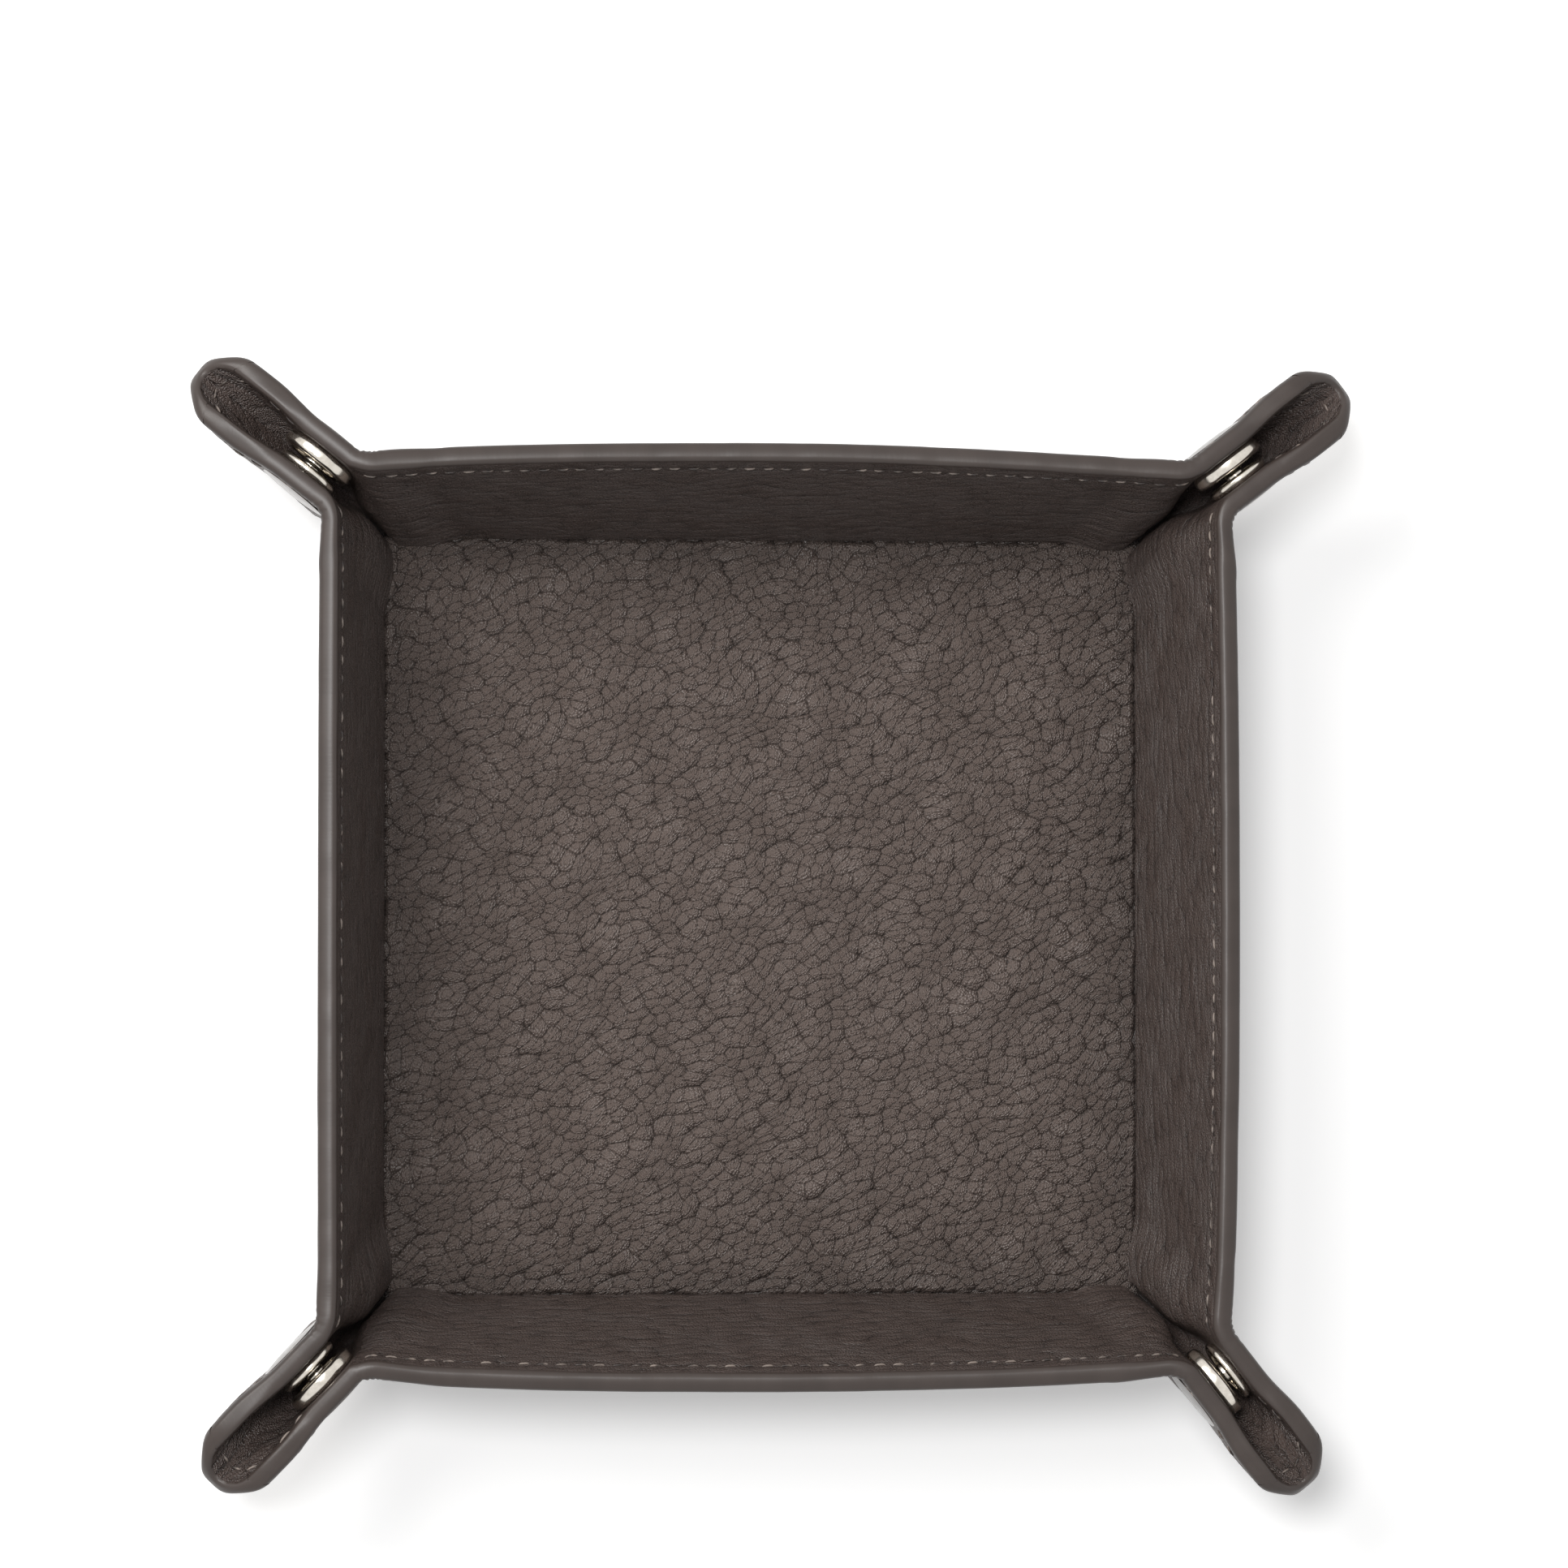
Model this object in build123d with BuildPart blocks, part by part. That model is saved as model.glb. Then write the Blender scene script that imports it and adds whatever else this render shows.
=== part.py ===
"""Leather valet tray with four pinched and snapped corners.

One square blank of two leathers, stiffened by boards, is creased round its base. The walls fold up,
and each corner is pinched into an ear: a flap of each wall, joined by a round fold at the bottom,
and held by a snap through both flaps.
"""
from build123d import *
from math import asin, atan, cos, degrees, floor, pi, radians, sin, sqrt, tan
import os

os.makedirs("parts", exist_ok=True)

# The folded blank
base_width = 120.0
wall_height = 34.0
wall_angle = 76.0
corner_radius = 12.0
ear_gap = 4.8

# The layers
leather_thickness = 1.55
board_thickness = 0.9
board_margin = 4.0
board_clearance = 0.1

# Room left at the creases, where the real leather bends
crease_gap = 0.3
fold_mid_gap = 0.4
fold_start_angle = 10.0
fold_inner_end = 2.6

# The seam under the cut edge
seam_inset = 3.5
stitch_pitch = 2.9
stitch_length = 2.0
stitch_width = 0.6
stitch_height = 0.25

# The snaps
snap_crease_margin = 2.1
snap_fold_overhang = 0.4
rivet_diameter = 3.0
rivet_clearance = 0.05
rivet_entry = 0.35
cap_diameter = 12.4
cap_height = 0.9
cap_rim_height = 0.3
socket_diameter = 12.0
socket_height = 2.3
socket_rim_height = 0.9
socket_groove_depth = 0.4
socket_groove_diameter = 9.6
socket_hub_diameter = 7.6
socket_mouth_diameter = 5.0
socket_bore_depth = 1.8
mouth_chamfer = 0.4
stud_diameter = 10.4
stud_flange_height = 0.7
stud_groove_depth = 0.3
stud_groove_diameter = 8.4
stud_collar_diameter = 6.0
stud_height = 3.8
stud_bulb_diameter = 3.6
stud_neck_diameter = 3.1

# Worked out from the sizes above
sheet = 2 * leather_thickness
half_sheet = sheet / 2
tilt = radians(wall_angle)
half_base = base_width / 2 + half_sheet * tan(tilt / 2)
ear_half = ear_gap / 2 + half_sheet
crease_start = half_base - sqrt(2) * ear_half
crease_slope = cos(tilt)
crease_lean = atan(crease_slope)
ear_drop = atan(sqrt(2) / tan(tilt)) - crease_lean
unrolled = pi / 2 * ear_half

# The hinge of an ear fold, from the start of its arc, and the room its turning corner needs
pivot_along = pi / 4 * ear_half
pivot_inward = (1 - pi / 4) * ear_half
start_turn = radians(fold_start_angle)
corner_along = (ear_half + half_sheet) * sin(start_turn) - pivot_along
corner_inward = ear_half - (ear_half + half_sheet) * cos(start_turn) - pivot_inward
flap_end_gap = sqrt(corner_along ** 2 + corner_inward ** 2) - pivot_along + crease_gap
flap_strip = unrolled + flap_end_gap

# The middle of a snap on its flap: a cap's margin from the crease, and a socket's from the ear's fold
snap_from_crease = cap_diameter / 2 + snap_crease_margin
snap_from_bend = flap_strip - ear_half + socket_diameter / 2 - snap_fold_overhang
snap_rise = sqrt(2) * snap_from_bend
snap_along = ((snap_from_crease + snap_rise * sin(crease_lean))
              / (cos(crease_lean) - sin(crease_lean)))
snap_up = snap_along + snap_rise

# Where the flat pieces are folded to: a wall turns up about its crease, and an ear's flap turns
# about the crease at the wall's end until it lies along the corner's diagonal. On each plane +X runs
# along the crease, +Y to the cut edge and +Z inwards, and the middle of the sheet is at zero.
outward = Vector(1, 1, 0).normalized()
upward = Vector(0, 0, 1)
wall_plane = Plane(
    origin=(0, half_base, half_sheet),
    x_dir=(1, 0, 0),
    z_dir=(0, -sin(tilt), cos(tilt)),
)
flap_plane = Plane(
    origin=(crease_start, half_base, half_sheet),
    x_dir=outward * cos(ear_drop) - upward * sin(ear_drop),
    z_dir=Vector(1, -1, 0),
)


def wall_end(height, setback):
    """Half width of a wall at a height above its crease, set back from the ear's crease."""
    return crease_start + crease_slope * height - setback / cos(crease_lean)


def wall_outline(low, high, setback):
    """The trapezoid of a wall or of its board."""
    with BuildSketch() as outline:
        with BuildLine():
            Polyline(
                (-wall_end(low, setback), low),
                (wall_end(low, setback), low),
                (wall_end(high, setback), high),
                (-wall_end(high, setback), high),
                close=True,
            )
        make_face()
    return outline.sketch


def board_outline(margin):
    """The board inside a wall, clear of the crease, the ears and the seam."""
    return wall_outline(margin, wall_height - seam_inset - margin / 2, half_sheet + margin)


def base_outline(margin):
    """The base between its four creases, or its board."""
    width = 2 * (half_base - half_sheet - margin)
    with BuildSketch() as outline:
        Rectangle(width, width)
    return outline.sketch


def plate(outline, thickness):
    """A flat piece with its middle at zero."""
    with BuildPart() as body:
        add(outline)
        extrude(amount=thickness / 2, both=True)
    return body.part


def wall_sheet():
    """A wall with a round foot that turns in the crease."""
    setback = half_sheet + crease_gap
    with BuildPart() as body:
        add(plate(wall_outline(0, wall_height, setback), sheet))
        with BuildSketch(Plane.YZ):
            Circle(half_sheet)
        extrude(amount=wall_end(0, setback), both=True)
    return body.part


def corner_block():
    """The space over the blank's corner, which rounds the tip of what it cuts."""
    edge = wall_height + sqrt(2) * ear_half
    with BuildPart() as block:
        with BuildSketch(Plane.XY.offset(-sheet)):
            with BuildLine():
                Polyline((edge, wall_height - corner_radius), (edge, -wall_height),
                         (-wall_height, -wall_height), (-wall_height, wall_height),
                         (edge - corner_radius, wall_height))
                CenterArc((edge - corner_radius, wall_height - corner_radius), corner_radius, 0, 90)
            make_face()
        extrude(amount=2 * sheet + ear_half)
    return block.part


def flap_sheet():
    """The flat flap of an ear: a round side in the ear's crease, a cut side at the ear's fold."""
    setback = sqrt(2) * (flap_strip - ear_half)
    foot = (crease_slope * setback / (1 - crease_slope), setback / (1 - crease_slope))
    crease = Plane(origin=(0, 0, 0), z_dir=(crease_slope, 1, 0))
    with BuildPart() as body:
        with BuildSketch():
            with BuildLine():
                Polyline(
                    foot,
                    (crease_slope * wall_height, wall_height),
                    (wall_height - setback, wall_height),
                    close=True,
                )
            make_face()
        extrude(amount=half_sheet, both=True)
        with BuildSketch(crease):
            Circle(half_sheet)
        extrude(amount=2 * wall_height)
        add(corner_block(), mode=Mode.INTERSECT)
        split(bisect_by=Plane(origin=foot, z_dir=(1, -1, 0)), keep=Keep.BOTTOM)
    return body.part


def fold_sheet():
    """Half of the ear's round bottom: a quarter of a tube, from the flap to the ear's middle."""
    outer = ear_half + half_sheet
    inner = ear_half - half_sheet
    outer_turn = degrees(asin(fold_mid_gap / outer))
    inner_turn = degrees(asin(fold_mid_gap / inner))
    last_turn = 90 - fold_start_angle
    along = Vector(1, 1, 0).normalized()
    down = Vector(1, -1, 0).normalized()
    start = Vector(sqrt(2) * ear_half, 0, ear_half) - down * unrolled + along * fold_inner_end
    with BuildPart() as body:
        with BuildSketch(Plane(origin=start, x_dir=down, z_dir=along)):
            with BuildLine():
                wide = CenterArc((0, 0), outer, outer_turn, last_turn - outer_turn)
                narrow = CenterArc((0, 0), inner, inner_turn, last_turn - inner_turn)
                Line(wide @ 0, narrow @ 0)
                Line(wide @ 1, narrow @ 1)
            make_face()
        extrude(amount=2 * wall_height)
        add(corner_block(), mode=Mode.INTERSECT)
    return body.part


def outer_leather(body, board=None):
    """The outer half of a sheet, with a pocket for half of the board."""
    with BuildPart() as leather:
        add(body)
        split(bisect_by=Plane.XY, keep=Keep.BOTTOM)
        if board:
            add(board)
            extrude(amount=-board_thickness / 2, mode=Mode.SUBTRACT)
    return leather.part


def lining(body, board=None):
    """The inner half of a sheet, with a pocket for half of the board."""
    with BuildPart() as leather:
        add(body)
        split(bisect_by=Plane.XY, keep=Keep.TOP)
        if board:
            add(board)
            extrude(amount=board_thickness / 2, mode=Mode.SUBTRACT)
    return leather.part


def riveted(leather):
    """A flap's leather with the hole for the snap's rivet."""
    with BuildPart() as pierced:
        add(leather)
        with BuildSketch():
            with Locations(snap_place):
                Circle(rivet_diameter / 2 + rivet_clearance)
        extrude(amount=sheet, both=True, mode=Mode.SUBTRACT)
    return pierced.part


def wall_thread():
    """The stitches of the seam on both faces of a wall."""
    height = wall_height - seam_inset
    room = 2 * wall_end(height, half_sheet + crease_gap) - stitch_length
    count = floor(room / stitch_pitch) + 1
    with BuildPart() as thread:
        for face, lift in ((half_sheet, stitch_height), (-half_sheet, -stitch_height)):
            with BuildSketch(Plane.XY.offset(face)):
                with Locations((0, height)):
                    with GridLocations(stitch_pitch, 0, count, 1):
                        SlotOverall(stitch_length, stitch_width)
            extrude(amount=lift)
    return thread.part


def snap_cap():
    """The domed cap outside the flap, with the rivet that holds the snap through the leathers."""
    rivet = rivet_diameter / 2
    rivet_top = half_sheet + rivet_entry
    edge = cap_diameter / 2
    rim = -half_sheet - cap_rim_height
    crown = -half_sheet - cap_height
    with BuildPart() as body:
        with BuildSketch(Plane.XZ):
            with BuildLine():
                Polyline((0, crown), (0, rivet_top), (rivet, rivet_top), (rivet, -half_sheet),
                         (edge, -half_sheet), (edge, rim))
                TangentArc((0, crown), (edge, rim), tangent=(1, 0))
            make_face()
        revolve(axis=Axis.Z)
    return body.part


def snap_socket():
    """The socket that takes the stud: a rolled rim, a groove and a hub with a bore."""
    recess = rivet_diameter / 2 + rivet_clearance
    top = half_sheet + socket_height
    rim = half_sheet + socket_rim_height
    groove = rim - socket_groove_depth
    bore_end = top - socket_bore_depth
    mouth = socket_mouth_diameter / 2
    with BuildPart() as body:
        with BuildSketch(Plane.XZ):
            with BuildLine():
                Polyline(
                    (0, half_sheet + rivet_entry),
                    (recess, half_sheet + rivet_entry),
                    (recess, half_sheet),
                    (socket_diameter / 2, half_sheet),
                    (socket_diameter / 2, rim),
                    (socket_groove_diameter / 2, rim),
                    (socket_groove_diameter / 2, groove),
                    (socket_hub_diameter / 2, groove),
                    (socket_hub_diameter / 2, top),
                    (mouth + mouth_chamfer, top),
                    (mouth, top - mouth_chamfer),
                    (mouth, bore_end),
                    (0, bore_end),
                    close=True,
                )
            make_face()
        revolve(axis=Axis.Z)
    return body.part


def snap_stud():
    """The stud: a flange with a groove and a post with a bulb that snaps into the socket."""
    recess = rivet_diameter / 2 + rivet_clearance
    flange = half_sheet + stud_flange_height
    groove = flange - stud_groove_depth
    tip = half_sheet + stud_height
    bulb = stud_bulb_diameter / 2
    neck = stud_neck_diameter / 2
    neck_top = tip - bulb - sqrt(bulb ** 2 - neck ** 2)
    with BuildPart() as body:
        with BuildSketch(Plane.XZ):
            with BuildLine():
                Polyline(
                    (neck, neck_top),
                    (neck, flange),
                    (stud_collar_diameter / 2, flange),
                    (stud_collar_diameter / 2, groove),
                    (stud_groove_diameter / 2, groove),
                    (stud_groove_diameter / 2, flange),
                    (stud_diameter / 2, flange),
                    (stud_diameter / 2, half_sheet),
                    (recess, half_sheet),
                    (recess, half_sheet + rivet_entry),
                    (0, half_sheet + rivet_entry),
                    (0, tip),
                )
                ThreePointArc((0, tip), (bulb, tip - bulb), (neck, neck_top))
            make_face()
        revolve(axis=Axis.Z)
    return body.part


def folded(shape, place):
    """A flat piece at its folded place on the back wall or its right ear."""
    with BuildPart() as piece:
        with Locations(place):
            add(shape)
    return piece.part


def save(name, shape, turn=0, mirrored=False):
    """Set a piece at its wall and end, name it and write it."""
    with BuildPart() as piece:
        with Locations(Location((0, 0, 0), (0, 0, turn))):
            add(mirror(shape, about=Plane.YZ, mode=Mode.PRIVATE) if mirrored else shape)
    piece.part.label = name
    export_step(piece.part, f"parts/{name}.step")


# The base
base_place = Location((0, 0, half_sheet))
base_whole = plate(base_outline(crease_gap), sheet)
base_pocket = base_outline(board_margin)
base_board = plate(base_outline(board_margin + board_clearance), board_thickness)
save("base_outer_leather", folded(outer_leather(base_whole, base_pocket), base_place))
save("base_board", folded(base_board, base_place))
save("base_lining", folded(lining(base_whole, base_pocket), base_place))

# One wall
wall_whole = wall_sheet()
wall_pocket = board_outline(board_margin)
wall_pieces = {
    "outer_leather": outer_leather(wall_whole, wall_pocket),
    "board": plate(board_outline(board_margin + board_clearance), board_thickness),
    "lining": lining(wall_whole, wall_pocket),
    "thread": wall_thread(),
}

# Half an ear, with the two halves of its snap
snap_place = Location((snap_along, snap_up, 0))
flap_whole = flap_sheet()
flap_pieces = {
    "flap_outer_leather": riveted(outer_leather(flap_whole)),
    "flap_lining": riveted(lining(flap_whole)),
    "flap_snap_cap": folded(snap_cap(), snap_place),
    "flap_snap_socket": folded(snap_socket(), snap_place),
    "flap_snap_stud": folded(snap_stud(), snap_place),
    "ear_fold": fold_sheet(),
}

# The walls in turn round the base: what each one's snaps lack, and its ends, the second one mirrored
walls = {
    "back": ("flap_snap_stud", ("right", "left")),
    "left": ("flap_snap_socket", ("back", "front")),
    "front": ("flap_snap_stud", ("left", "right")),
    "right": ("flap_snap_socket", ("front", "back")),
}
for index, (wall, (absent, ends)) in enumerate(walls.items()):
    turn = index * 360 / len(walls)
    for kind, shape in wall_pieces.items():
        save(f"{wall}_wall_{kind}", folded(shape, wall_plane.location), turn)
    for end, mirrored in zip(ends, (False, True)):
        for kind, shape in flap_pieces.items():
            if kind != absent:
                save(f"{wall}_wall_{end}_{kind}", folded(shape, flap_plane.location), turn, mirrored)
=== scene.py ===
"""Leather valet tray with four pinched and snapped corners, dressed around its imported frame.

One square blank of two leathers is modelled flat, in millimetres, and folded by one mapping: the
walls stand up at the base's creases, each ear's flap turns at the wall's end, and the ear's bottom
rolls into half a tube. Pattern and grain stay on the blank, so they run on from piece to piece.
Every wall's end is made as the back wall's right end, then mirrored by its side and turned.
"""
import math

import bmesh
import bpy
import numpy as np
from mathutils import Euler, Matrix, Vector


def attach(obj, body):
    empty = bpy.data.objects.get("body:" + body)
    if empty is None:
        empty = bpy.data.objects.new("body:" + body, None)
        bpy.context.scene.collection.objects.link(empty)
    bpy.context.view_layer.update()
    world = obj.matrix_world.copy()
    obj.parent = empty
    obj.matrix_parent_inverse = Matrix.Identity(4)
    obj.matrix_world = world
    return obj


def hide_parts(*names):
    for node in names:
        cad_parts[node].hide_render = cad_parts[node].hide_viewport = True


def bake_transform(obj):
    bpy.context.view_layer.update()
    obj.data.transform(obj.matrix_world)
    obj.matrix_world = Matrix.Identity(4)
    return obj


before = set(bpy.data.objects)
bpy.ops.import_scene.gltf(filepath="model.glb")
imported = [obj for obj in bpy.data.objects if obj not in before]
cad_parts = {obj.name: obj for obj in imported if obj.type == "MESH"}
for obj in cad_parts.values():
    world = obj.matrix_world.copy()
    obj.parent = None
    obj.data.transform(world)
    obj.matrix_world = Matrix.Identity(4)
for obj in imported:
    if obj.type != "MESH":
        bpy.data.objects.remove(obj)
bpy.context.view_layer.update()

MM = 0.001

# The folded blank, as in the part's source
BASE_WIDTH = 120.0
WALL_HEIGHT = 34.0
WALL_ANGLE = math.radians(76.0)
CORNER_RADIUS = 12.0
EAR_GAP = 4.8
HALF_SHEET = 1.55
HALF_BOARD = 0.45
SEAM_INSET = 3.5
STITCH_PITCH = 2.9
CAP_DIAMETER = 12.4
SOCKET_DIAMETER = 12.0
SNAP_CREASE_MARGIN = 2.1
SNAP_FOLD_OVERHANG = 0.4
FLAP_END_GAP = 0.355

ROOT2 = math.sqrt(2)
HALF_BASE = BASE_WIDTH / 2 + HALF_SHEET * math.tan(WALL_ANGLE / 2)
EAR_HALF = EAR_GAP / 2 + HALF_SHEET
CREASE_X = HALF_BASE - ROOT2 * EAR_HALF
CREASE_SLOPE = math.cos(WALL_ANGLE)
CREASE_LEAN = math.atan(CREASE_SLOPE)
CREASE_OUT = (math.cos(CREASE_LEAN), -math.sin(CREASE_LEAN))
CREASE_UP = (math.sin(CREASE_LEAN), math.cos(CREASE_LEAN))
EAR_DROP = math.atan(ROOT2 / math.tan(WALL_ANGLE)) - CREASE_LEAN
EAR_RISE = math.pi / 4 - EAR_DROP
FLAP_TURN = math.acos(math.sin(WALL_ANGLE) / ROOT2)
UNROLLED = math.pi / 2 * EAR_HALF
BEND_LINE = HALF_BASE - ROOT2 * UNROLLED
ARC_CENTRE = HALF_BASE + WALL_HEIGHT - CORNER_RADIUS
SNAP_RISE = ROOT2 * (UNROLLED + FLAP_END_GAP - EAR_HALF + SOCKET_DIAMETER / 2 - SNAP_FOLD_OVERHANG)
SNAP_X = ((CAP_DIAMETER / 2 + SNAP_CREASE_MARGIN + SNAP_RISE * math.sin(CREASE_LEAN))
          / (math.cos(CREASE_LEAN) - math.sin(CREASE_LEAN)))
SNAP = (CREASE_X + SNAP_X, SNAP_X + SNAP_RISE)

# Each wall: its turn from the back wall in degrees, its half of the snaps, how far the middle of its
# cut edge bows outwards, and its ends, each with its side and how softly the bow fades towards it
WALLS = {
    "back": (0, "socket", 2.4, (("right", 1, 1.5), ("left", -1, 0.6))),
    "left": (90, "stud", 0.3, (("back", 1, 0.5), ("front", -1, 0.5))),
    "front": (180, "socket", 3.0, (("left", 1, 0.5), ("right", -1, 0.6))),
    "right": (270, "stud", 1.3, (("front", 1, 1.0), ("back", -1, 0.6))),
}

# Each ear, by its two walls: the degrees that it leans and the distance that it is pushed away from
# the front or back wall, and how much longer it is pulled
EARS = {
    ("back", "right"): (7.5, 1.5, 0.6),
    ("back", "left"): (6.7, 1.3, 1.5),
    ("front", "left"): (-1.3, 0.2, 1.9),
    ("front", "right"): (-6.6, -1.6, 0.7),
}

# What the ears share: how far out from the base's corner they lean about, how far they bulge past
# the snap and are pinched before it, and the share that they narrow by at the tip
LEAN_CENTRE = 13.6
EAR_BULGE = 0.75
EAR_PINCH = 2.1
TIP_NARROWING = 0.36

# The tip's droop: where along the ear's bottom it starts, its radius and its largest turn, and how
# far it draws the tip in
TIP_START = 35.0
TIP_RADIUS = 11.5
TIP_TURN = math.radians(24.0)
TIP_DRAW = 0.5

# Where each change to the ears begins and is whole: by the distance out from the base's corner, off
# the ear's middle, or up from the floor
BULGE_OUT = (17.0, 25.0)
PINCH_OUT = (9.5, 2.5)
PINCH_OFF = (9.0, 5.0)
PINCH_UP = (31.0, 14.0)
NARROW_OUT = (27.0, 38.5)
DROOP_OFF = (1.2 * EAR_HALF, 0.0)
PUSH_OUT = (0.0, 7.0)
PUSH_UP = (0.0, 14.0)
PULL_OUT = (17.0, 34.0)
LEAN_OUT = (1.0, 8.5)


# Values on the blank
LATTICE_SIZE = 128
LATTICE = np.random.default_rng(11).random((LATTICE_SIZE, LATTICE_SIZE, 3))

# How far the grain's rows drift and its cells are nudged, and over what distance each changes
DRIFT, DRIFT_SIZE = 1.3, 15.0
NUDGE, NUDGE_SIZE = 0.35, 2.6

# Each grain: its cells' size, how many times longer they are than wide, and the angle they lie at
BASE_GRAIN = (2.9, 1.3, 0.6)
WALL_GRAIN = (1.7, 2.6, 0.05)
EAR_GRAIN = (2.0, 1.3, 0.8)


def smooth(low, high, value):
    """0 before low, 1 past high, smooth between. Low may be the larger of the two."""
    share = np.clip((value - low) / (high - low), 0, 1)
    return share * share * (3 - 2 * share)


def cells(x, y):
    """Distances to the nearest and second nearest of scattered points, one in each unit square."""
    column, row = np.floor(x).astype(int), np.floor(y).astype(int)
    first, second = np.full(x.shape, np.inf), np.full(x.shape, np.inf)
    for across in (-1, 0, 1):
        for up in (-1, 0, 1):
            spot = LATTICE[(column + across) % LATTICE_SIZE, (row + up) % LATTICE_SIZE]
            away = np.hypot(column + across + spot[..., 0] - x, row + up + spot[..., 1] - y)
            second = np.minimum(second, np.maximum(first, away))
            first = np.minimum(first, away)
    return first, second


def wave(x, y, size):
    """Smooth random values from -1 to 1 with humps of about that size.

    A number added to x or y by the caller only picks other values.
    """
    x, y = x / size, y / size
    column, row = np.floor(x).astype(int), np.floor(y).astype(int)
    fx, fy = smooth(0, 1, x - column), smooth(0, 1, y - row)
    corner = [[LATTICE[(column + i) % LATTICE_SIZE, (row + j) % LATTICE_SIZE, 2] for j in (0, 1)]
              for i in (0, 1)]
    low = corner[0][0] * (1 - fx) + corner[1][0] * fx
    high = corner[0][1] * (1 - fx) + corner[1][1] * fx
    return 2 * (low * (1 - fy) + high * fy) - 1


def pebbles(x, y, size, stretch, lean):
    """Tumbled grain: domed cells of that size, longer along the lean. 0 in the folds, 1 on top."""
    x, y = (x + DRIFT * wave(x, y, DRIFT_SIZE) + NUDGE * wave(x + 50, y, NUDGE_SIZE),
            y + DRIFT * wave(x, y + 90, DRIFT_SIZE) + NUDGE * wave(x, y + 31, NUDGE_SIZE))
    along = (x * math.cos(lean) + y * math.sin(lean)) / (size * stretch)
    across = (y * math.cos(lean) - x * math.sin(lean)) / size
    first, second = cells(along + 40, across + 40)
    dome = 1 - (first / second) ** 2
    long_fold = np.exp(-(wave(along / 4.6 + 3, across / 1.5 + 8, 1) / 0.09) ** 2)
    return np.clip(0.3 + 0.7 * dome - 0.3 * long_fold, 0, 1)


def on_blank(x, y, side, turn):
    """Where a wall's own x and y lie on the whole blank."""
    angle = math.radians(turn)
    x, y = side * x, y + HALF_BASE
    return x * math.cos(angle) - y * math.sin(angle), x * math.sin(angle) + y * math.cos(angle)


# The fold
# The soft bend into a flap: its radius at the foot, how much it widens and how far up it is widest
BEND_RADIUS = 2.0
BEND_WIDENING = 3.4
BEND_WIDE_AT = 22.0
# A wall's bow ends this far past its crease and grows by this power of the height
BOW_OVERRUN = 1.5
BOW_POWER = 1.4


def rolled(x, y, z):
    """The strip beside the blank's diagonal, rolled into a quarter of the ear's round bottom."""
    along = (x - BEND_LINE + y) / ROOT2
    past = np.clip((x - BEND_LINE - y) / ROOT2, 0, None)
    flat = np.minimum((x - BEND_LINE - y) / ROOT2, 0)
    turn = past / EAR_HALF
    reach = flat + (EAR_HALF - z) * np.sin(turn)
    return (BEND_LINE + (along + reach) / ROOT2, (along - reach) / ROOT2,
            EAR_HALF - (EAR_HALF - z) * np.cos(turn))


def bend_radius(y):
    """Radius of the soft bend from a wall into its ear's flap, wider towards the cut edge."""
    return BEND_RADIUS + BEND_WIDENING * smooth(0, BEND_WIDE_AT, y)


def turned(x, y, z, soft=True):
    """Turn the flap outwards about the crease at the wall's end, over a soft bend or sharply."""
    out = (x - CREASE_X) * CREASE_OUT[0] + y * CREASE_OUT[1]
    up = (x - CREASE_X) * CREASE_UP[0] + y * CREASE_UP[1]
    new_out = out * math.cos(FLAP_TURN) + z * math.sin(FLAP_TURN)
    new_z = z * math.cos(FLAP_TURN) - out * math.sin(FLAP_TURN)
    if soft:
        radius = bend_radius(up)
        half = radius * math.tan(FLAP_TURN / 2)
        share = np.clip((out + half) / (2 * half), 0, 1)
        bent_out = -half + (radius + z) * np.sin(FLAP_TURN * share)
        bent_z = -radius + (radius + z) * np.cos(FLAP_TURN * share)
        new_out = np.where(share <= 0, out, np.where(share >= 1, new_out, bent_out))
        new_z = np.where(share <= 0, z, np.where(share >= 1, new_z, bent_z))
    return (CREASE_X + new_out * CREASE_OUT[0] + up * CREASE_UP[0],
            new_out * CREASE_OUT[1] + up * CREASE_UP[1], new_z)


def raised(x, y, z):
    """Stand the wall up at the base's crease."""
    return (x, HALF_BASE + y * math.cos(WALL_ANGLE) - z * math.sin(WALL_ANGLE),
            HALF_SHEET + y * math.sin(WALL_ANGLE) + z * math.cos(WALL_ANGLE))


def bowed(x, y, z, bow, fade):
    """Lean the middle of a wall outwards, most at its cut edge."""
    reach = CREASE_X + BOW_OVERRUN + CREASE_SLOPE * np.clip(y, 0, None)
    share = np.clip(1 - (x / reach) ** 2, 0, 1) ** fade
    return z - bow * (np.clip(y, 0, None) / WALL_HEIGHT) ** BOW_POWER * share


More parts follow.
